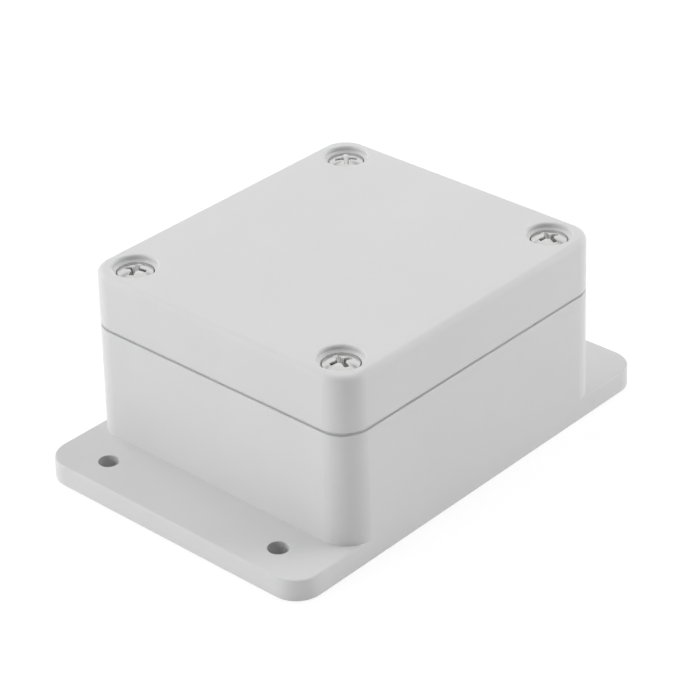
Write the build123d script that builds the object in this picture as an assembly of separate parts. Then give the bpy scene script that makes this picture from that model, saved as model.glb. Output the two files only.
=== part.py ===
"""A small plastic project box with mounting ears, a sealed screw-down lid and four lid screws.

Millimetres. The origin is the middle of the underside. +X runs along the box from ear to ear,
+Y runs across it and +Z is up. The camera side of the photograph is the corner at -X, -Y.
"""

from build123d import *
from math import radians, sqrt, tan
import os

# Outside sizes
ear_span = 89.0
ear_reach = 12.0
foot_width = 59.0
total_height = 35.0
lid_height = 10.2
ear_thickness = 3.95
body_corner_radius = 5.4
ear_corner_radius = 5.0
base_draft = 1.0
lid_draft = 0.9
top_edge_radius = 1.1
ear_edge_radius = 0.3
foot_edge_bevel = 0.1

# Walls and cavity
wall = 3.2
floor_thickness = 3.0
lid_thickness = 3.0
cavity_draft = 0.6
pillar_radius = 4.9
pillar_blend_radius = 1.5
cavity_floor_bevel = 0.8

# Parting line: the screw columns meet, the rest of the rim stands apart by the parting gap, and a
# step round the outside of the base's rim makes the shadow line
parting_gap = 0.3
parting_edge_bevel = 0.1
shadow_step_height = 0.25
shadow_step_depth = 0.45

# Seal: a tongue on the base presses a soft ring into a groove in the lid
seal_inset = 0.8
tongue_width = 1.2
tongue_height = 1.3
tongue_edge_bevel = 0.2
groove_clearance = 0.2
gasket_height = 1.1
gasket_side_clearance = 0.05

# Lid screws and the holes they sit in
screw_end_inset = 5.9
screw_side_inset = 6.1
well_radius = 3.85
well_step_depth = 0.8
well_step_slope = 0.25
well_depth = 2.75
well_edge_radius = 0.35
head_radius = 3.1
head_clearance = 0.15
head_side_height = 1.7
head_crown_rise = 0.6
head_shoulder_bevel = 0.45
shank_radius = 1.45
shank_length = 18.0
shank_tip_chamfer = 0.5
lid_hole_clearance = 0.25
pilot_clearance = 0.05
pilot_spare_depth = 1.6
column_seat_wall = 0.9
recess_span = 4.1
recess_wing = 0.85
recess_depth = 1.5
recess_floor_span = 1.3

# Holes in the ears
ear_hole_radius = 1.8
ear_hole_end_inset = 6.1
ear_hole_side_inset = 9.95
ear_hole_edge_bevel = 0.05

# Posts for a circuit board on the floor of the base
post_inset = 14.0
post_radius = 2.4
post_height = 4.0
post_hole_radius = 1.1
post_hole_depth = 5.0

# Heights and plan sizes that follow from the values above
body_length = ear_span - 2 * ear_reach
parting_height = total_height - lid_height
base_rim = parting_height - parting_gap / 2
lid_rim = parting_height + parting_gap / 2
shadow_step = base_rim - shadow_step_height
base_lean = parting_height * tan(radians(base_draft))
rim_length = body_length - 2 * base_lean
rim_width = foot_width - 2 * base_lean
rim_corner_radius = body_corner_radius - base_lean
cavity_length = rim_length - 2 * wall
cavity_width = rim_width - 2 * wall
head_seat = total_height - well_depth
shank_tip = head_seat - shank_length
well_bore_radius = head_radius + head_clearance
lid_hole_radius = shank_radius + lid_hole_clearance
pilot_radius = shank_radius + pilot_clearance
column_seat_radius = lid_hole_radius + column_seat_wall
gasket_roof = parting_height + tongue_height + gasket_height

# Places in plan
screw_x = rim_length / 2 - screw_end_inset
screw_y = rim_width / 2 - screw_side_inset
screw_places = {
    "front_left": (-screw_x, -screw_y),
    "front_right": (screw_x, -screw_y),
    "back_left": (-screw_x, screw_y),
    "back_right": (screw_x, screw_y),
}
# The turn in degrees at which each screw's cross came to rest when it was driven home
screw_turns = {"front_left": -20.0, "front_right": -18.0, "back_left": 24.0, "back_right": 45.0}
ear_hole_x = ear_span / 2 - ear_hole_end_inset
ear_hole_y = foot_width / 2 - ear_hole_side_inset
post_x = rim_length / 2 - post_inset
post_y = rim_width / 2 - post_inset


def four_corners(x, y):
    """The four places that mirror one place across both middle planes."""
    return [(-x, -y), (x, -y), (-x, y), (x, y)]


def edges_at(solid, height):
    """The edges of a solid that lie flat at one height."""
    return solid.edges().filter_by_position(Axis.Z, height - 0.001, height + 0.001)


def cavity_outline(grow=0.0):
    """The inner outline of the walls, bent round the four screw pillars, or its offset towards the wall."""
    outline = Rectangle(cavity_length, cavity_width)
    for x, y in screw_places.values():
        outline -= Pos(x, y) * Circle(pillar_radius)
    # Where a pillar meets a wall the outline has a sharp corner, which the blend takes off
    outline = fillet(outline.vertices(), pillar_blend_radius)
    if grow:
        outline = offset(outline, amount=grow, kind=Kind.ARC)
    return outline


def ring_outline(inner_grow, outer_grow):
    """A band that follows the cavity outline, between two offsets of it."""
    return cavity_outline(outer_grow) - cavity_outline(inner_grow)


def hole_rim(solid, x, y, height, radius):
    """The rim of one round hole that opens at a height."""
    return [
        edge
        for edge in edges_at(solid, height).filter_by(GeomType.CIRCLE)
        if abs(edge.arc_center.X - x) < radius and abs(edge.arc_center.Y - y) < radius
    ]


def upright_cylinder(x, y, radius, bottom, top):
    """A round upright pin, or the shape of a hole, between two heights."""
    return Pos(x, y, bottom) * extrude(Circle(radius), amount=top - bottom)


def ear_plate():
    """The plate that makes both ears, with its top edge rounded."""
    plate = extrude(
        RectangleRounded(ear_span, foot_width, ear_corner_radius), amount=ear_thickness, taper=base_draft
    )
    return fillet(edges_at(plate, ear_thickness), ear_edge_radius)


def base_block():
    """The drafted outside of the base up to the shadow line, and the narrower rim inside the line."""
    block = extrude(
        RectangleRounded(body_length, foot_width, body_corner_radius), amount=shadow_step, taper=base_draft
    )
    block = chamfer(edges_at(block, shadow_step), parting_edge_bevel)
    inset = shadow_step_depth
    rim_plan = RectangleRounded(rim_length - 2 * inset, rim_width - 2 * inset, rim_corner_radius - inset)
    return block + Pos(0, 0, base_rim - wall) * extrude(rim_plan, amount=wall)


def base_cavity():
    """The hollow of the base: widest at the rim and bevelled at the floor."""
    depth = base_rim - floor_thickness
    hollow = extrude(cavity_outline(), amount=depth, taper=cavity_draft)
    hollow = chamfer(edges_at(hollow, depth), cavity_floor_bevel)
    return Pos(0, 0, base_rim) * mirror(hollow, about=Plane.XY)


def board_post(x, y):
    """A drafted post on the floor, which takes a self-tapping screw through a circuit board."""
    post_foot = floor_thickness / 2
    height = floor_thickness + post_height - post_foot
    return Pos(x, y, post_foot) * extrude(Circle(post_radius), amount=height, taper=base_draft)


def build_base():
    """The lower moulding: ears, walls, floor, pillars, seal tongue and board posts."""
    solid = ear_plate() + base_block()
    solid = chamfer(edges_at(solid, 0), foot_edge_bevel)
    solid -= base_cavity()
    tongue_rise = tongue_height + parting_gap / 2
    tongue = extrude(ring_outline(seal_inset, seal_inset + tongue_width), amount=tongue_rise)
    solid += Pos(0, 0, base_rim) * chamfer(edges_at(tongue, tongue_rise), tongue_edge_bevel)
    post_top = floor_thickness + post_height
    for x, y in four_corners(post_x, post_y):
        solid += board_post(x, y)
        solid -= upright_cylinder(x, y, post_hole_radius, post_top - post_hole_depth, post_top)
    for x, y in screw_places.values():
        solid += upright_cylinder(x, y, column_seat_radius, base_rim - wall, parting_height)
        solid -= upright_cylinder(x, y, pilot_radius, shank_tip - pilot_spare_depth, parting_height)
    for x, y in four_corners(ear_hole_x, ear_hole_y):
        solid -= upright_cylinder(x, y, ear_hole_radius, 0, ear_thickness)
        solid = chamfer(hole_rim(solid, x, y, ear_thickness, ear_hole_radius), ear_hole_edge_bevel)
    return solid


def screw_well(x, y):
    """The well that hides a screw head, with a sloping step and the hole for the shank."""
    step = total_height - well_step_depth
    well = upright_cylinder(x, y, well_radius, step, total_height)
    hang_down = (Align.CENTER, Align.CENTER, Align.MAX)
    well += Pos(x, y, step) * Cone(well_bore_radius, well_radius, well_step_slope, align=hang_down)
    well += upright_cylinder(x, y, well_bore_radius, head_seat, total_height)
    well += upright_cylinder(x, y, lid_hole_radius, parting_height, total_height)
    return well


def build_lid():
    """The upper moulding: drafted skirt, flat top, screw wells and columns, and the seal groove."""
    plan = RectangleRounded(rim_length, rim_width, rim_corner_radius)
    solid = Pos(0, 0, lid_rim) * extrude(plan, amount=total_height - lid_rim, taper=lid_draft)
    solid = fillet(edges_at(solid, total_height), top_edge_radius)
    solid = chamfer(edges_at(solid, lid_rim), parting_edge_bevel)
    hollow_height = total_height - lid_thickness - lid_rim
    hollow = extrude(cavity_outline(), amount=hollow_height, taper=cavity_draft)
    hollow = chamfer(edges_at(hollow, hollow_height), cavity_floor_bevel)
    solid -= Pos(0, 0, lid_rim) * hollow
    groove = ring_outline(seal_inset - groove_clearance, seal_inset + tongue_width + groove_clearance)
    solid -= Pos(0, 0, lid_rim) * extrude(groove, amount=gasket_roof - lid_rim)
    for x, y in screw_places.values():
        solid += upright_cylinder(x, y, column_seat_radius, parting_height, parting_height + wall)
        solid -= screw_well(x, y)
        solid = fillet(hole_rim(solid, x, y, total_height, well_radius), well_edge_radius)
    return solid


def build_gasket():
    """The soft flat ring in the lid's groove, which rests on the tongue of the base."""
    inner = seal_inset - groove_clearance + gasket_side_clearance
    outer = seal_inset + tongue_width + groove_clearance - gasket_side_clearance
    return Pos(0, 0, gasket_roof - gasket_height) * extrude(ring_outline(inner, outer), amount=gasket_height)


def cross_recess():
    """The cross in a screw head, measured from the crown down: two wedges whose ends slope inwards."""
    slot = make_face(
        Polyline(
            (-recess_span / 2, 0),
            (recess_span / 2, 0),
            (recess_floor_span / 2, -recess_depth),
            (-recess_floor_span / 2, -recess_depth),
            close=True,
        )
    )
    wedge = extrude(Plane.XZ * slot, amount=recess_wing / 2, both=True)
    return wedge + Rot(0, 0, 90) * wedge


def build_screw(x, y, turn):
    """One pan-head screw: domed head with a cross recess, plain shank and a bevelled tip."""
    crown = head_side_height + head_crown_rise
    crown_radius = (head_radius**2 + head_crown_rise**2) / (2 * head_crown_rise)
    half_way = head_radius / 2
    half_height = crown - (crown_radius - sqrt(crown_radius**2 - half_way**2))
    outline = Line((0, 0), (head_radius, 0))
    outline += Line((head_radius, 0), (head_radius, head_side_height))
    outline += ThreePointArc((head_radius, head_side_height), (half_way, half_height), (0, crown))
    outline += Line((0, crown), (0, 0))
    head = revolve(Plane.XZ * make_face(outline), axis=Axis.Z)
    head = chamfer(edges_at(head, head_side_height), head_shoulder_bevel)
    shank = Pos(0, 0, -shank_length) * extrude(Circle(shank_radius), amount=shank_length)
    shank = chamfer(edges_at(shank, -shank_length), shank_tip_chamfer)
    screw = head + shank - Pos(0, 0, crown) * cross_recess()
    return Pos(x, y, head_seat) * Rot(0, 0, turn) * screw


def main():
    """Builds every piece and writes one file for each."""
    os.makedirs("parts", exist_ok=True)
    pieces = {"base": build_base(), "lid": build_lid(), "gasket": build_gasket()}
    for place, (x, y) in screw_places.items():
        pieces["lid_screw_" + place] = build_screw(x, y, screw_turns[place])
    for name, piece in pieces.items():
        export_step(piece, f"parts/{name}.step")
        print(name, round(piece.volume, 1), "mm3")


main()
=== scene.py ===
"""Dresses the plastic project box: moulded shells, plated lid screws, seal ring and studio.

Lengths are in millimetres until a mesh is written, and the meshes are in metres, in the frame of
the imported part: the origin is the middle of the underside, +X runs from ear to ear and +Z is up.
"""

import logging
import math
from dataclasses import dataclass
from enum import Enum
from typing import ClassVar

import bpy
import numpy as np
from mathutils import Matrix, Vector


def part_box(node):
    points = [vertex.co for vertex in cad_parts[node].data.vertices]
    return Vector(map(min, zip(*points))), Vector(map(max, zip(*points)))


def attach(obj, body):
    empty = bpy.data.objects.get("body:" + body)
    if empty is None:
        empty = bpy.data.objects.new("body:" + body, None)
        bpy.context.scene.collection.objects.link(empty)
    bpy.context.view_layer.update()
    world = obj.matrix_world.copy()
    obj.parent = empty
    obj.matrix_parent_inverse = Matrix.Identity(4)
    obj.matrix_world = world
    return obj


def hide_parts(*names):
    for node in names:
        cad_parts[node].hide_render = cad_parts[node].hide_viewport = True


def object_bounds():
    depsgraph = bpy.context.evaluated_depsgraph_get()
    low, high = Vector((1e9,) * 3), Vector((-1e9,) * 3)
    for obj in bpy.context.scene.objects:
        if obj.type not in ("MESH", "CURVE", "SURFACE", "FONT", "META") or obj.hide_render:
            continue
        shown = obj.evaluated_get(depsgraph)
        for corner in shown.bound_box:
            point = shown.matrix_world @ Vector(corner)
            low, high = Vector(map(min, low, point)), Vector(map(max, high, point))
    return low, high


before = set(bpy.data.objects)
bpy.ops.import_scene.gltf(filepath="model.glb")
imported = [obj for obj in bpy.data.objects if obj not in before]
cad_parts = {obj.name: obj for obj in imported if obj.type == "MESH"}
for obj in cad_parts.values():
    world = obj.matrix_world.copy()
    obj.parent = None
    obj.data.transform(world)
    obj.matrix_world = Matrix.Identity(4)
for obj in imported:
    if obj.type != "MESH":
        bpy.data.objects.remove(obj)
cad_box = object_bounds()

log = logging.getLogger("project_box")
Pair = tuple[float, float]
Triple = tuple[float, float, float]
Socket = bpy.types.NodeSocket
MM = 0.001
WHITE = (1.0, 1.0, 1.0, 1.0)
# An edge that bends by more than this many degrees stays sharp.
SHARP_FROM = 38.0
# The part of its scale that noise seldom leaves.
USUAL_NOISE = (0.25, 0.75)
# The numbers of the colour mixer's two inputs and of its output.
FIRST_COLOUR, SECOND_COLOUR, MIXED_COLOUR = 6, 7, 2


class Slot(Enum):
    """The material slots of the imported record."""

    PLASTIC = "box_plastic"
    STEEL = "screw_steel"
    RUBBER = "seal_rubber"


class Corner(Enum):
    """The four lid screws, each with the turn in degrees at which its cross came to rest."""

    FRONT_LEFT = ("front_left", -20.0)
    FRONT_RIGHT = ("front_right", -18.0)
    BACK_LEFT = ("back_left", 24.0)
    BACK_RIGHT = ("back_right", 45.0)

    @property
    def node(self) -> str:
        """The name of this corner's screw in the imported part."""
        return f"lid_screw_{self.value[0]}"

    @property
    def cross_turn(self) -> float:
        """The turn of this screw's cross about its axis, in radians."""
        return math.radians(self.value[1])


class Board:
    """A node tree that is built one node at a time."""

    def __init__(self, tree: bpy.types.NodeTree) -> None:
        """Takes over a node tree and empties it.

        Args:
            tree: the tree of a material or of the world.
        """
        self.tree = tree
        tree.nodes.clear()

    def add(self, kind: str, inputs: dict | None = None, **settings: object) -> bpy.types.Node:
        """Adds one node.

        Args:
            kind: the node's type, without the leading words that all shader nodes share.
            inputs: for each input, by name or number, a value or the output that feeds it.
            settings: properties of the node itself.

        Returns:
            The new node.
        """
        node = self.tree.nodes.new("ShaderNode" + kind)
        for name, value in settings.items():
            setattr(node, name, value)
        for name, value in (inputs or {}).items():
            if isinstance(value, Socket):
                self.tree.links.new(value, node.inputs[name])
            else:
                node.inputs[name].default_value = value
        return node

    def noise(self, size: float, detail: float = 2.0) -> Socket:
        """Even noise on the piece's own coordinates.

        Args:
            size: the width of one patch in millimetres.
            detail: how many finer layers ride on the patches.

        Returns:
            The noise value, about 0.5 on average.
        """
        place = self.add("TexCoord").outputs["Object"]
        fill = {"Vector": place, "Scale": 1.0 / (size * MM), "Detail": detail}
        return self.add("TexNoise", fill).outputs["Fac"]

    def spread(self, value: Socket, low: float, high: float) -> Socket:
        """Carries a noise value over to the range from low to high.

        Noise seldom leaves the middle half of its scale, so that half becomes the whole range.

        Args:
            value: a noise value between 0 and 1.
            low: what a quiet patch gives.
            high: what a strong patch gives.

        Returns:
            The mapped value.
        """
        quiet, strong = USUAL_NOISE
        ends = {"From Min": quiet, "From Max": strong, "To Min": low, "To Max": high}
        return self.add("MapRange", {"Value": value, **ends}).outputs["Result"]

    def tint(self, value: Socket, colour: Triple, contrast: float) -> Socket:
        """Varies one colour by a small share, lighter and darker.

        Args:
            value: a noise value between 0 and 1.
            colour: the middle colour, linear.
            contrast: the share by which the two ends differ from the middle.

        Returns:
            The varied colour.
        """
        dark = [channel * (1 - contrast) for channel in colour] + [1.0]
        light = [channel * (1 + contrast) for channel in colour] + [1.0]
        fill = {"Factor": self.spread(value, 0.0, 1.0), FIRST_COLOUR: dark, SECOND_COLOUR: light}
        return self.add("Mix", fill, data_type="RGBA").outputs[MIXED_COLOUR]

    def sum_up(self, operation: str, *values: float | Socket) -> Socket:
        """The result of one sum.

        Args:
            operation: the sum's name.
            values: its numbers, or the outputs that feed them.

        Returns:
            The result.
        """
        return self.add("Math", dict(enumerate(values)), operation=operation).outputs[0]

    def relief(self, value: Socket, depth: float, below: Socket | None = None) -> Socket:
        """A bumped normal.

        Args:
            value: the height pattern.
            depth: the height in millimetres of the pattern's full range.
            below: another bumped normal that this one rides on.

        Returns:
            The bent normal.
        """
        fill = {"Height": value, "Distance": depth * MM}
        if below is not None:
            fill["Normal"] = below
        return self.add("Bump", fill).outputs["Normal"]


def new_material(name: str) -> tuple[bpy.types.Material, Board]:
    """A new material and the board for its nodes.

    Args:
        name: the finish's name.

    Returns:
        The material and its emptied node tree.
    """
    material = bpy.data.materials.new(name)
    material.use_nodes = True
    return material, Board(material.node_tree)


def finish_with(board: Board, inputs: dict) -> None:
    """Ends a finish with its shader and output.

    Args:
        board: the board of the material.
        inputs: the shader's inputs.
    """
    shader = board.add("BsdfPrincipled", inputs)
    board.add("OutputMaterial", {"Surface": shader.outputs["BSDF"]})


@dataclass(frozen=True)
class MouldedPlastic:
    """Light grey moulded plastic with a fine satin skin.

    The skin is three layers of noise: spark texture of the mould, a slight orange peel, and broad
    patches in which the colour drifts by about a percent. The gloss drifts with a finer noise.
    """

    colour: Triple = (0.663, 0.663, 0.664)
    spark_size: float = 0.16
    spark_detail: float = 1.0
    spark_depth: float = 0.004
    peel_size: float = 2.2
    peel_depth: float = 0.008
    patch_size: float = 14.0
    colour_drift: float = 0.012
    gloss_detail: float = 4.0
    glossy: float = 0.46
    dull: float = 0.56
    mirror_level: float = 0.35

    def material(self) -> bpy.types.Material:
        """Mixes the plastic.

        Returns:
            The material.
        """
        material, board = new_material("satin_grey_plastic")
        patches = board.noise(self.patch_size)
        peel = board.relief(board.noise(self.peel_size), self.peel_depth)
        gloss = board.noise(self.peel_size, self.gloss_detail)
        sparks = board.noise(self.spark_size, self.spark_detail)
        inputs = {
            "Base Color": board.tint(patches, self.colour, self.colour_drift),
            "Roughness": board.spread(gloss, self.glossy, self.dull),
            "Specular IOR Level": self.mirror_level,
            "Normal": board.relief(sparks, self.spark_depth, peel),
        }
        finish_with(board, inputs)
        return material


@dataclass(frozen=True)
class PlatedSteel:
    """Bright plated steel: polished, with the faint ripple and haze of barrel plating."""

    name: str = "bright_plated_steel"
    colour: Triple = (0.68, 0.68, 0.675)
    haze_size: float = 0.9
    haze_detail: float = 3.0
    bright: float = 0.12
    hazy: float = 0.26
    ripple_size: float = 0.5
    ripple_depth: float = 0.005
    colour_drift: float = 0.04

    def material(self) -> bpy.types.Material:
        """Mixes the plating.

        Returns:
            The material.
        """
        material, board = new_material(self.name)
        haze = board.noise(self.haze_size, self.haze_detail)
        inputs = {
            "Base Color": board.tint(haze, self.colour, self.colour_drift),
            "Metallic": 1.0,
            "Roughness": board.spread(haze, self.bright, self.hazy),
            "Normal": board.relief(board.noise(self.ripple_size), self.ripple_depth),
        }
        finish_with(board, inputs)
        return material


@dataclass(frozen=True)
class SealRubber:
    """Soft black rubber with a matt, finely pitted skin."""

    colour: Triple = (0.035, 0.035, 0.037)
    pit_size: float = 0.25
    pit_depth: float = 0.02
    patch_size: float = 5.0
    colour_drift: float = 0.15
    roughness_range: Pair = (0.62, 0.8)

    def material(self) -> bpy.types.Material:
        """Mixes the rubber.

        Returns:
            The material.
        """
        material, board = new_material("matt_seal_rubber")
        patches = board.noise(self.patch_size)
        inputs = {
            "Base Color": board.tint(patches, self.colour, self.colour_drift),
            "Roughness": board.spread(patches, *self.roughness_range),
            "Normal": board.relief(board.noise(self.pit_size), self.pit_depth),
        }
        finish_with(board, inputs)
        return material


def new_piece(
    name: str, points: np.ndarray, faces: list[np.ndarray], finishes: list[bpy.types.Material]
) -> bpy.types.Object:
    """Makes one smooth piece from its points and faces.

    Args:
        name: the piece's name.
        points: one row of x, y, z for each point, in millimetres.
        faces: arrays of point numbers, one row for each face, counter-clockwise from outside.
        finishes: the material of each array of faces.

    Returns:
        The new object, at the origin and linked to the scene.
    """
    mesh = bpy.data.meshes.new(name)
    rows = [row for block in faces for row in block.tolist()]
    mesh.from_pydata((points * MM).tolist(), [], rows)
    mesh.shade_smooth()
    mesh.set_sharp_from_angle(angle=math.radians(SHARP_FROM))
    kinds = list(dict.fromkeys(finishes))
    for kind in kinds:
        mesh.materials.append(kind)
    numbers = [kinds.index(finish) for finish in finishes]
    slots = np.repeat(numbers, [len(block) for block in faces])
    mesh.polygons.foreach_set("material_index", slots)
    piece = bpy.data.objects.new(name, mesh)
    bpy.context.scene.collection.objects.link(piece)
    return piece


def report(piece: bpy.types.Object) -> None:
    """Logs a piece's name, size and number of faces.

    Args:
        piece: a finished piece.
    """
    size = np.ptp(np.array(piece.bound_box), axis=0) / MM
    log.info("%s: %.1f x %.1f x %.1f mm, %d faces", piece.name, *size, len(piece.data.polygons))


def band_faces(rows: int, across: int, closed: bool) -> np.ndarray:
    """Quads between neighbouring rings of points.

    Ring i holds the points from i times across, and each ring closes on itself. The next ring
    after the last is the first one again where the surface is closed. Rings that turn
    counter-clockwise as seen from above, each below the last, give quads that face outwards.

    Args:
        rows: the number of rings.
        across: the number of points in a ring.
        closed: whether the last ring joins the first.

    Returns:
        One row of four point numbers for each quad.
    """
    ring = np.arange(rows if closed else rows - 1)[:, None]
    step = np.arange(across)[None, :]
    here = ring * across
    after = (ring + 1) % rows * across
    beside = (step + 1) % across
    corners = [after + step, after + beside, here + beside, here + step]
    return np.stack(np.broadcast_arrays(*corners), axis=-1).reshape(-1, 4)


def cap_faces(pole: int, first: int, across: int, faces_up: bool) -> np.ndarray:
    """A fan of triangles from a pole to a ring that turns counter-clockwise as seen from above.

    Args:
        pole: the number of the point in the middle of the fan.
        first: the number of the ring's first point.
        across: the number of points in the ring.
        faces_up: whether the fan is seen from above rather than from below.

    Returns:
        One row of three point numbers for each triangle.
    """
    step = np.arange(across)
    beside = (step + 1) % across
    edge = [first + step, first + beside]
    return np.stack([np.full(across, pole), *(edge if faces_up else edge[::-1])], axis=-1)


@dataclass
class MouldedShells:
    """The base and the lid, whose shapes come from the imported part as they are."""

    nodes: tuple[str, ...] = ("base", "lid")

    def dress(self, finish: bpy.types.Material) -> list[bpy.types.Object]:
        """Gives both shells their finish.

        Args:
            finish: the plastic.

        Returns:
            The two shells.
        """
        shells = [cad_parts[name] for name in self.nodes]
        for shell in shells:
            shell.data.materials.clear()
            shell.data.materials.append(finish)
        return shells


@dataclass
class LidScrew:
    """One pan-head screw with a cross recess and a rolled thread.

    The surface is one stack of rings round the screw's axis. It starts in the middle of the recess
    floor, climbs the walls of the cross, runs over the dome and round the head, and goes down the
    threaded shank to the tip. Each ring has the same number of points, so that rings of different
    outline join point by point. Heights are above the seat, on which the head's underside lies.

    The deep bands are the recess floor and the lower four fifths of its walls, painted darker as
    shade.
    """

    corner: Corner
    shank_length: float = 18.0
    shank_radius: float = 1.45
    head_side: float = 1.55
    crown_rise: float = 0.6
    head_height: float = 2.3
    crown_rings: int = 8
    shoulder_radius: float = 0.2
    shoulder_rings: int = 6
    under_edge: float = 0.12
    cross_span: float = 3.9
    cross_wing: float = 0.8
    cross_core: float = 1.75
    cross_depth: float = 1.6
    floor_span: float = 1.5
    floor_wing: float = 0.5
    floor_core: float = 0.95
    floor_cone: float = 0.25
    wall_rings: int = 5
    deep_bands: int = 5
    lip: float = 0.05
    lip_bend: float = 0.3
    thread_pitch: float = 1.06
    thread_depth: float = 0.33
    thread_from: float = 5.2
    thread_flank: float = 3.2
    thread_flat: float = 0.85
    tip_length: float = 2.2
    tip_radius: float = 0.75
    steps_per_part: int = 4
    rings_per_pitch: int = 12
    wings: ClassVar[int] = 4
    parts_per_side: ClassVar[int] = 3

    def __post_init__(self) -> None:
        """Reads the screw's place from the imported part."""
        low, high = (np.array(end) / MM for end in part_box(self.corner.node))
        self.axis = (low + high)[:2] / 2
        self.head_radius = (high - low)[0] / 2
        self.seat = low[2] + self.shank_length

    @property
    def across(self) -> int:
        """The number of points in a ring, counted over both sides of each wing."""
        return self.wings * 2 * self.parts_per_side * self.steps_per_part

    def circle(self, radius: float) -> np.ndarray:
        """A ring of even points, which starts on the middle line of the first wing.

        A point is the radius times the cosine and the sine of its share of the full turn.

        Args:
            radius: the ring's radius.

        Returns:
            One row of x and y for each point.
        """
        turn = np.linspace(0.0, 2 * np.pi, self.across, endpoint=False)
        return radius * np.stack([np.cos(turn), np.sin(turn)], axis=-1)

    def cross(self, span: float, wing: float, core: float) -> np.ndarray:
        """The outline of the cross: four flat-ended wings that grow out of a round core.

        Half a wing is three parts. The end runs straight out from the middle line to the wing's
        corner, the flank runs straight back to the core, and the core's arc runs on to the line
        halfway to the next wing. The other half mirrors it, and the wing is turned four times.

        Args:
            span: the distance between the ends of two opposite wings.
            wing: the width of a wing.
            core: the diameter of the round core.

        Returns:
            One row of x and y for each point.
        """
        share = np.linspace(0.0, 1.0, self.steps_per_part, endpoint=False)
        reach, half, radius = span / 2, wing / 2, core / 2
        root = math.sqrt(radius**2 - half**2)
        start, halfway = math.asin(half / radius), math.pi / self.wings
        arc = start + (halfway - start) * share
        end = np.stack([np.full_like(share, reach), half * share], axis=-1)
        flank = np.stack([reach + (root - reach) * share, np.full_like(share, half)], axis=-1)
        round_part = radius * np.stack([np.cos(arc), np.sin(arc)], axis=-1)
        upper = np.concatenate([end, flank, round_part])
        corner = np.array([[radius * math.cos(halfway), radius * math.sin(halfway)]])
        lower = np.concatenate([corner, upper[:0:-1]]) * (1, -1)
        turns = np.arange(self.wings) * 2 * math.pi / self.wings
        turned = [self.turn(upper, angle) for angle in turns]
        mirrored = [self.turn(lower, angle) for angle in np.roll(turns, -1)]
        return np.concatenate([part for pair in zip(turned, mirrored) for part in pair])

    def mouth(self, margin: float = 0.0) -> np.ndarray:
        """The outline of the cross where it opens in the dome, or a line round it.

        Args:
            margin: how far outside the opening the line lies.

        Returns:
            One row of x and y for each point.
        """
        wider = 2 * margin
        return self.cross(self.cross_span + wider, self.cross_wing + wider, self.cross_core + wider)

    @staticmethod
    def turn(points: np.ndarray, angle: float) -> np.ndarray:
        """Turns flat points about the origin.

        Args:
            points: one row of x and y for each point.
            angle: the turn in radians.

        Returns:
            The turned points.
        """
        cosine, sine = math.cos(angle), math.sin(angle)
        return points @ np.array([[cosine, sine], [-sine, cosine]])

    @staticmethod
    def at_height(flat: np.ndarray, height: float | np.ndarray) -> np.ndarray:
        """Lifts a flat ring to a height.

        Args:
            flat: one row of x and y for each point.
            height: one height, or one for each point.

        Returns:
            One row of x, y and z for each point.
        """
        level = np.broadcast_to(height, flat.shape[:1])
        return np.concatenate([flat, level[:, None]], axis=-1)

    def dome(self, flat: np.ndarray) -> np.ndarray:
        """The height of the head's dome: a sphere through the crown and the head's edge.

        The sphere's radius is the sum of the squares of the edge's radius and the crown's rise,
        over twice the rise. A point's height is the sphere's middle plus the square root of what
        the square of its distance from the axis leaves of the square of that radius.

        Args:
            flat: points in plan.

        Returns:
            The height of each point.
        """
        edge = self.head_radius
        radius = (edge**2 + self.crown_rise**2) / (2 * self.crown_rise)
        middle = self.head_height - radius
        return middle + np.sqrt(radius**2 - (flat**2).sum(axis=-1))

    def recess_rings(self) -> list[np.ndarray]:
        """The rings from the recess floor up its sloping walls to the rounded lip on the dome.

        A wall's ring lies at its share of the way from the floor's outline to the mouth's, in
        plan and in height. The floor sinks as a flat cone towards the axis.

        Returns:
            The rings, each with one row of x, y and z for each point.
        """
        floor = self.cross(self.floor_span, self.floor_wing, self.floor_core)
        mouth, lip = self.mouth(), self.mouth(self.lip)
        bottom = self.head_height - self.cross_depth
        rings = [self.at_height(floor / 2, bottom - self.floor_cone / 2)]
        rings.append(self.at_height(floor, bottom))
        top = self.dome(mouth) - self.lip
        for share in np.linspace(0.0, 1.0, self.wall_rings + 1)[1:]:
            flat = floor + (mouth - floor) * share
            rings.append(self.at_height(flat, bottom + (top - bottom) * share))
        bend = mouth + (lip - mouth) * self.lip_bend
        rings.append(self.at_height(bend, self.dome(mouth) - self.lip * self.lip_bend))
        rings.append(self.at_height(lip, self.dome(lip)))
        return rings

    def dome_rings(self) -> list[np.ndarray]:
        """The rings from the lip to the shoulder, whose outline melts from the cross into a circle.

        A ring lies at its share of the way from the lip to the circle, lifted onto the dome.

        Returns:
            The rings, each with one row of x, y and z for each point.
        """
        lip = self.mouth(self.lip)
        outer = self.circle(self.head_radius - self.shoulder_radius)
        rings = []
        for share in np.linspace(0.0, 1.0, self.crown_rings + 1)[1:]:
            flat = lip + (outer - lip) * share
            rings.append(self.at_height(flat, self.dome(flat)))
        return rings

    def side_rings(self) -> list[np.ndarray]:
        """The rings round the shoulder, down the head's side and in under it.

        The shoulder is a quarter ellipse. A ring lies out by the sine of its angle, and above the
        head's side by the cosine.

        Returns:
            The rings, each with one row of x, y and z for each point.
        """
        inner = self.head_radius - self.shoulder_radius
        drop = float(self.dome(self.circle(inner))[0]) - self.head_side
        rings = []
        for angle in np.linspace(0.0, math.pi / 2, self.shoulder_rings + 1)[1:]:
            flat = self.circle(inner + self.shoulder_radius * math.sin(angle))
            rings.append(self.at_height(flat, self.head_side + drop * math.cos(angle)))
        rings.append(self.at_height(self.circle(self.head_radius), self.under_edge))
        rings.append(self.at_height(self.circle(self.head_radius - self.under_edge), 0.0))
        rings.append(self.at_height(self.circle(self.shank_radius), 0.0))
        return rings

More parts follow.
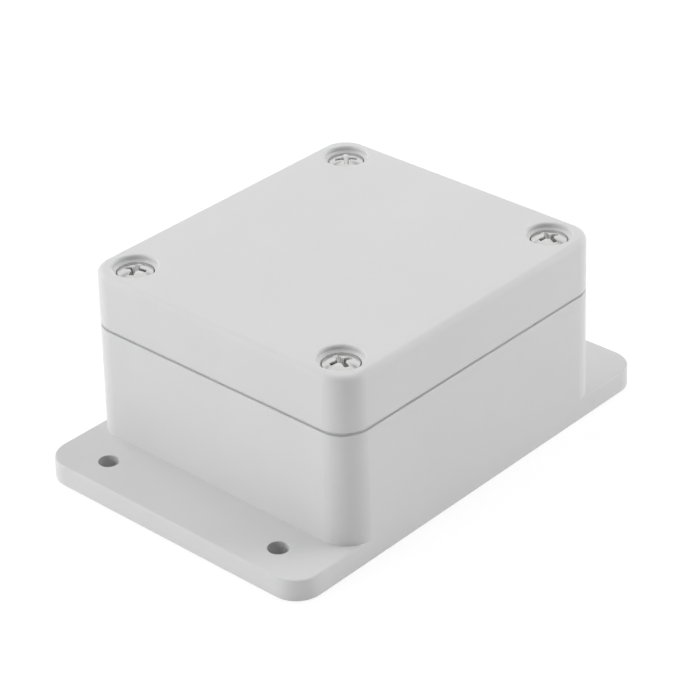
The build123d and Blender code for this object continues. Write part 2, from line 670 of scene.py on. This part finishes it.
    def shank_rings(self) -> list[np.ndarray]:
        """The rings down the shank, with a helical thread.

        The thread's height at a point is a triangle wave of its distance down the shank plus the
        share of the turn that it has gone round, in pitches, with its crest cut flat. It fades in
        below the plain neck, and the whole radius narrows over the last stretch, down to the tip.

        Returns:
            The rings, each with one row of x, y and z for each point.
        """
        rows = int(self.shank_length / self.thread_pitch * self.rings_per_pitch)
        down = np.linspace(0.0, self.shank_length, rows + 1)[1:, None]
        round_share = np.arange(self.across)[None, :] / self.across
        phase = (down / self.thread_pitch + round_share) % 1.0
        wave = 1.0 - np.abs(phase - 0.5) * self.thread_flank
        crest = np.clip(wave, 0.0, self.thread_flat) / self.thread_flat
        fade = np.clip((down - self.thread_from) / self.thread_pitch, 0.0, 1.0)
        radius = self.shank_radius - self.thread_depth * fade * (1.0 - crest)
        to_tip = np.clip((down - self.shank_length + self.tip_length) / self.tip_length, 0.0, 1.0)
        radius = radius * (1.0 - to_tip**2 * (1.0 - self.tip_radius / self.shank_radius))
        turn = round_share * 2 * np.pi
        height = np.broadcast_to(-down, radius.shape)
        return list(np.stack([radius * np.cos(turn), radius * np.sin(turn), height], axis=-1))

    def build(self, plating: bpy.types.Material, recess_shade: bpy.types.Material) -> bpy.types.Object:
        """Builds the screw in its place and puts it on its body.

        Args:
            plating: the finish of the head and the shank.
            recess_shade: the darker finish deep in the recess, which paints shade there.

        Returns:
            The finished piece.
        """
        head = self.recess_rings() + self.dome_rings() + self.side_rings()
        rings = np.array(head + self.shank_rings())
        count, across = rings.shape[:2]
        floor_pole = [[0.0, 0.0, self.head_height - self.cross_depth - self.floor_cone]]
        tip_pole = [[0.0, 0.0, -self.shank_length]]
        points = np.concatenate([rings.reshape(-1, 3), floor_pole, tip_pole])
        points[:, :2] = self.turn(points[:, :2], self.corner.cross_turn) + self.axis
        points[:, 2] += self.seat
        bands = band_faces(count, across, closed=False)
        deep, pole = self.deep_bands * across, count * across
        faces = [
            bands[:deep],
            cap_faces(pole, 0, across, faces_up=True),
            bands[deep:],
            cap_faces(pole + 1, pole - across, across, faces_up=False),
        ]
        # The recess floor and its deep walls take the darker finish: painted shade.
        finishes = [recess_shade, recess_shade, plating, plating]
        piece = new_piece(f"screw_{self.corner.value[0]}", points, faces, finishes)
        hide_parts(self.corner.node)
        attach(piece, self.corner.node)
        return piece


@dataclass
class SealRing:
    """The rubber ring in the lid's groove, bent round the four screw pillars.

    Its middle line follows the inner outline of the walls, moved out towards them. It runs straight
    along each wall, turns inwards round the blend where the wall meets a pillar, and goes round the
    pillar itself. The outline's sizes are those of the part's source.
    """

    cavity_length: float = 57.734
    cavity_width: float = 51.734
    pillar: Pair = (26.167, 22.967)
    pillar_radius: float = 4.9
    blend_radius: float = 1.5
    ring_width: float = 1.5
    edge_radius: float = 0.4
    arc_spacing: float = 0.3
    fewest_steps: int = 6
    corner_steps: int = 5

    def __post_init__(self) -> None:
        """Reads the ring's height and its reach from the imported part."""
        low, high = (np.array(end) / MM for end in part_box("gasket"))
        self.height = high[2] - low[2]
        self.level = (high[2] + low[2]) / 2
        self.middle_offset = high[0] - self.ring_width / 2 - self.cavity_length / 2

    def arc(self, centre: Pair, radius: float, start: float, end: float, side: int) -> np.ndarray:
        """Even points on an arc of the middle line.

        A point is the centre plus the radius times the cosine and the sine of its angle.

        Args:
            centre: the arc's middle in plan.
            radius: its radius.
            start: the angle of its first point in radians.
            end: the angle of its last point in radians.
            side: 1 where the wall lies outside the arc, -1 where a pillar lies inside it.

        Returns:
            One row for each point: x and y, then the x and y of the direction towards the wall.
        """
        steps = max(self.fewest_steps, int(radius * abs(end - start) / self.arc_spacing))
        angle = np.linspace(start, end, steps)
        outward = np.stack([np.cos(angle), np.sin(angle)], axis=-1)
        return np.concatenate([np.array(centre) + radius * outward, side * outward], axis=-1)

    def corner(self) -> np.ndarray:
        """The middle line round the pillar at +X, +Y, from the end wall to the side wall.

        A blend's centre lies one blend radius inside its wall, and a pillar radius and a blend
        radius from the pillar's middle.

        Returns:
            One row for each point, as an arc gives them.
        """
        reach = self.pillar_radius + self.blend_radius
        middle_x, middle_y = self.pillar
        end_x = self.cavity_length / 2 - self.blend_radius
        side_y = self.cavity_width / 2 - self.blend_radius
        end_blend = (end_x, middle_y - math.sqrt(reach**2 - (end_x - middle_x) ** 2))
        side_blend = (middle_x - math.sqrt(reach**2 - (side_y - middle_y) ** 2), side_y)
        to_end = math.atan2(end_blend[1] - middle_y, end_blend[0] - middle_x)
        to_side = math.atan2(side_blend[1] - middle_y, side_blend[0] - middle_x) - 2 * math.pi
        blend = self.blend_radius + self.middle_offset
        inner = self.pillar_radius - self.middle_offset
        first = self.arc(end_blend, blend, 0.0, to_end + math.pi, 1)
        second = self.arc(self.pillar, inner, to_end, to_side, -1)
        third = self.arc(side_blend, blend, to_side + math.pi, math.pi / 2, 1)
        return np.concatenate([first, second[1:-1], third])

    def middle_line(self) -> np.ndarray:
        """The closed middle line: one corner, mirrored across both middle planes, end to end.

        Returns:
            One row for each point, as an arc gives them.
        """
        corner = self.corner()
        back_left = corner[::-1] * (-1, 1, -1, 1)
        front_left = corner * (-1, -1, -1, -1)
        front_right = corner[::-1] * (1, -1, 1, -1)
        return np.concatenate([corner, back_left, front_left, front_right])

    def section(self) -> np.ndarray:
        """The ring's section: a rectangle whose corners are quarter circles.

        Returns:
            One row for each point: how far it lies towards the wall, and how far up.
        """
        quarter = np.linspace(0.0, math.pi / 2, self.corner_steps)
        reach = np.array([self.ring_width / 2, self.height / 2]) - self.edge_radius
        parts = []
        for number, signs in enumerate([(1, 1), (-1, 1), (-1, -1), (1, -1)]):
            angle = quarter + number * math.pi / 2
            round_part = self.edge_radius * np.stack([np.cos(angle), np.sin(angle)], axis=-1)
            parts.append(reach * signs + round_part)
        return np.concatenate(parts)

    def build(self, finish: bpy.types.Material) -> bpy.types.Object:
        """Carries the section along the middle line.

        A point is the line's point moved towards the wall by the section's width there, at the
        ring's level plus the section's height.

        Args:
            finish: the rubber.

        Returns:
            The finished piece.
        """
        line, section = self.middle_line(), self.section()
        plan = line[:, None, :2] + section[None, :, :1] * line[:, None, 2:]
        height = np.broadcast_to(self.level + section[None, :, 1:], plan.shape[:2] + (1,))
        points = np.concatenate([plan, height], axis=-1).reshape(-1, 3)
        faces = band_faces(len(line), len(section), closed=True)
        piece = new_piece("seal_ring", points, [faces], [finish])
        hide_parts("gasket")
        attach(piece, "lid")
        return piece


@dataclass(frozen=True)
class PhotoCamera:
    """The camera of the photograph, solved on the edges of the box."""

    frame_pixels: float = 700.0
    focal_pixels: float = 2581.1
    place: Triple = (-277.865, -256.53, 242.158)
    heading: float = 42.62
    dip: float = 30.943
    roll: float = -1.518
    nearest: float = 10.0

    def build(self) -> None:
        """Makes the camera and gives it to the scene.

        It looks along its heading, dipped below the level, and is then rolled about that line.
        """
        heading, dip, roll = (math.radians(angle) for angle in (self.heading, self.dip, self.roll))
        level = np.array([math.cos(heading), math.sin(heading), 0.0])
        ahead = level * math.cos(dip) - np.array([0.0, 0.0, math.sin(dip)])
        right = np.array([math.sin(heading), -math.cos(heading), 0.0])
        above = np.cross(right, ahead)
        turned_right = math.cos(roll) * right + math.sin(roll) * above
        turned_above = math.cos(roll) * above - math.sin(roll) * right
        data = bpy.data.cameras.new("photo_camera")
        data.lens = self.focal_pixels * data.sensor_width / self.frame_pixels
        data.clip_start = self.nearest * MM
        camera = bpy.data.objects.new("photo_camera", data)
        axes = np.stack([turned_right, turned_above, -ahead, np.array(self.place) * MM], axis=-1)
        camera.matrix_world = Matrix(np.vstack([axes, [0.0, 0.0, 0.0, 1.0]]).tolist())
        bpy.context.scene.collection.objects.link(camera)
        bpy.context.scene.camera = camera


@dataclass(frozen=True)
class Softbox:
    """A square soft lamp, by the place of its middle, its width and its power in watts.

    A mirrored lamp shows in glossy skins. The others only light them, so that the room's plain
    white walls are what a gloss shows at a low angle.
    """

    name: str
    place: Triple
    width: float
    power: float
    mirrored: bool = False

    def build(self) -> None:
        """Hangs the lamp so that it faces the box."""
        data = bpy.data.lights.new(self.name, "AREA")
        data.shape = "SQUARE"
        data.size = self.width * MM
        data.energy = self.power
        lamp = bpy.data.objects.new(self.name, data)
        lamp.location = Vector(self.place) * MM
        lamp.rotation_euler = (-lamp.location).to_track_quat("-Z", "Y").to_euler()
        lamp.visible_camera = False
        lamp.visible_glossy = self.mirrored
        bpy.context.scene.collection.objects.link(lamp)


@dataclass(frozen=True)
class Studio:
    """White floor and backdrop, even soft light, and the photograph's camera."""

    floor_span: float = 4000.0
    floor_drop: float = 0.05
    floor_bounce: float = 0.9
    shadow_share: float = 0.3
    floor_glow: float = 0.76
    # Under the box, inset from its outline, the floor keeps this share of its colour and glow: a
    # painted shadow.
    painted_shadow_inset: float = 2.5
    painted_shadow_share: float = 0.15
    ambient: float = 0.02
    ceiling_fade: Pair = (35.0, 51.0)
    ceiling_grey: float = 0.14
    softboxes: tuple[Softbox, ...] = (
        Softbox("overhead_softbox", (0.0, 0.0, 900.0), 1500.0, 5.8, mirrored=True),
        Softbox("left_window", (-614.7, 614.7, 247.9), 400.0, 1.4),
        Softbox("near_left_window", (-839.7, 225.0, 247.9), 400.0, 2.6),
        Softbox("far_left_softbox", (-128.0, 726.0, 531.2), 700.0, 3.65),
        Softbox("right_window", (614.7, -614.7, 247.9), 400.0, 3.45),
        Softbox("right_softbox", (712.1, -190.8, 531.2), 700.0, 3.0),
    )

    @staticmethod
    def direct_view(board: Board) -> Socket:
        """1 for rays that the camera, a gloss or a clear part sends out, and 0 for soft bounces.

        Args:
            board: the board of the floor or the backdrop.

        Returns:
            The 1 or 0.
        """
        path = board.add("LightPath").outputs
        sharp = board.sum_up("MAXIMUM", path["Is Camera Ray"], path["Is Glossy Ray"])
        return board.sum_up("MAXIMUM", sharp, path["Is Transmission Ray"])

    def open_floor(self, board: Board) -> Socket:
        """1 on the open floor, and the dim share under the box, which paints the shadow that falls
        there.

        A place is under the box where its distances from the two middle planes are both less than
        half the box's size, less the inset.

        Args:
            board: the floor's board.

        Returns:
            The share of light.
        """
        place = board.add("SeparateXYZ", {0: board.add("TexCoord").outputs["Object"]}).outputs
        reach = [(high - low) / 2 - self.painted_shadow_inset * MM for low, high in zip(*cad_box)]
        distance = [board.sum_up("ABSOLUTE", place[axis]) for axis in (0, 1)]
        inside = [board.sum_up("LESS_THAN", distance[axis], reach[axis]) for axis in (0, 1)]
        under = board.sum_up("MULTIPLY", *inside)
        dimmed = board.sum_up("MULTIPLY", under, 1.0 - self.painted_shadow_share)
        return board.sum_up("SUBTRACT", 1.0, dimmed)

    def floor(self) -> None:
        """Lays the floor: white with a faint shadow to the eye, matt white for bounces, painted
        shadow under the box.
        """
        half, level = self.floor_span / 2, -self.floor_drop
        corners = [[x * half, y * half, level] for x, y in ((-1, -1), (1, -1), (1, 1), (-1, 1))]
        material, board = new_material("white_floor")
        # Painted shadow: under the box the floor's bounce, shadow and glow all drop to a share.
        share = self.open_floor(board)
        strengths = (self.floor_bounce, self.shadow_share, self.floor_glow)
        bounce, shadow, glow = (board.sum_up("MULTIPLY", share, strength) for strength in strengths)
        plain = board.add("BsdfDiffuse", {"Color": bounce})
        shaded = board.add("BsdfDiffuse", {"Color": shadow})
        glowing = board.add("Emission", {"Strength": glow})
        seen = board.add("AddShader", {0: shaded.outputs[0], 1: glowing.outputs[0]})
        mix = {0: self.direct_view(board), 1: plain.outputs[0], 2: seen.outputs[0]}
        board.add("OutputMaterial", {"Surface": board.add("MixShader", mix).outputs[0]})
        square = np.array([[0, 1, 2, 3]])
        new_piece("studio_floor", np.array(corners), [square], [material])

    def backdrop(self) -> None:
        """Lights the room evenly. To the eye it is white all round, with a grey ceiling overhead.

        At the photograph's angle only the screw heads show the ceiling. It fades in with the
        height of the view direction, from the elevation where the white wall ends to the one
        where the ceiling is full.
        """
        world = bpy.data.worlds.new("studio_backdrop")
        world.use_nodes = True
        bpy.context.scene.world = world
        board = Board(world.node_tree)
        soft = board.add("Background", {"Color": WHITE, "Strength": self.ambient})
        direction = board.add("SeparateXYZ", {0: board.add("TexCoord").outputs["Generated"]})
        wall_top, ceiling = (math.sin(math.radians(angle)) for angle in self.ceiling_fade)
        heights = {"Value": direction.outputs["Z"], "From Min": wall_top, "From Max": ceiling}
        greys = {"To Min": 1.0, "To Max": self.ceiling_grey}
        level = board.add("MapRange", {**heights, **greys}, interpolation_type="SMOOTHSTEP")
        seen = board.add("Background", {"Color": WHITE, "Strength": level.outputs[0]})
        mix = {0: self.direct_view(board), 1: soft.outputs[0], 2: seen.outputs[0]}
        board.add("OutputWorld", {"Surface": board.add("MixShader", mix).outputs[0]})

    def build(self) -> None:
        """Sets up the floor, the room, the lamps, the camera and the plain view of colours."""
        self.floor()
        self.backdrop()
        for softbox in self.softboxes:
            softbox.build()
        PhotoCamera().build()
        bpy.context.scene.view_settings.view_transform = "Standard"
        log.info("studio: %d softboxes, ambient %.2f", len(self.softboxes), self.ambient)


def main() -> None:
    logging.basicConfig(level=logging.INFO, format="%(name)s: %(message)s")
    plastic = MouldedPlastic().material()
    steel = PlatedSteel().material()
    # A darker, glossier plating for deep in the recess, which paints shade there.
    recess_shade_steel = PlatedSteel("plating_with_painted_recess_shade", colour=(0.64, 0.64, 0.64), bright=0.05, hazy=0.2)
    recess_shade = recess_shade_steel.material()
    rubber = SealRubber().material()
    pieces = MouldedShells().dress(plastic)
    pieces.append(SealRing().build(rubber))
    for corner in Corner:
        pieces.append(LidScrew(corner).build(steel, recess_shade))
    for piece in pieces:
        report(piece)
    Studio().build()


if __name__ == "__main__":
    main()
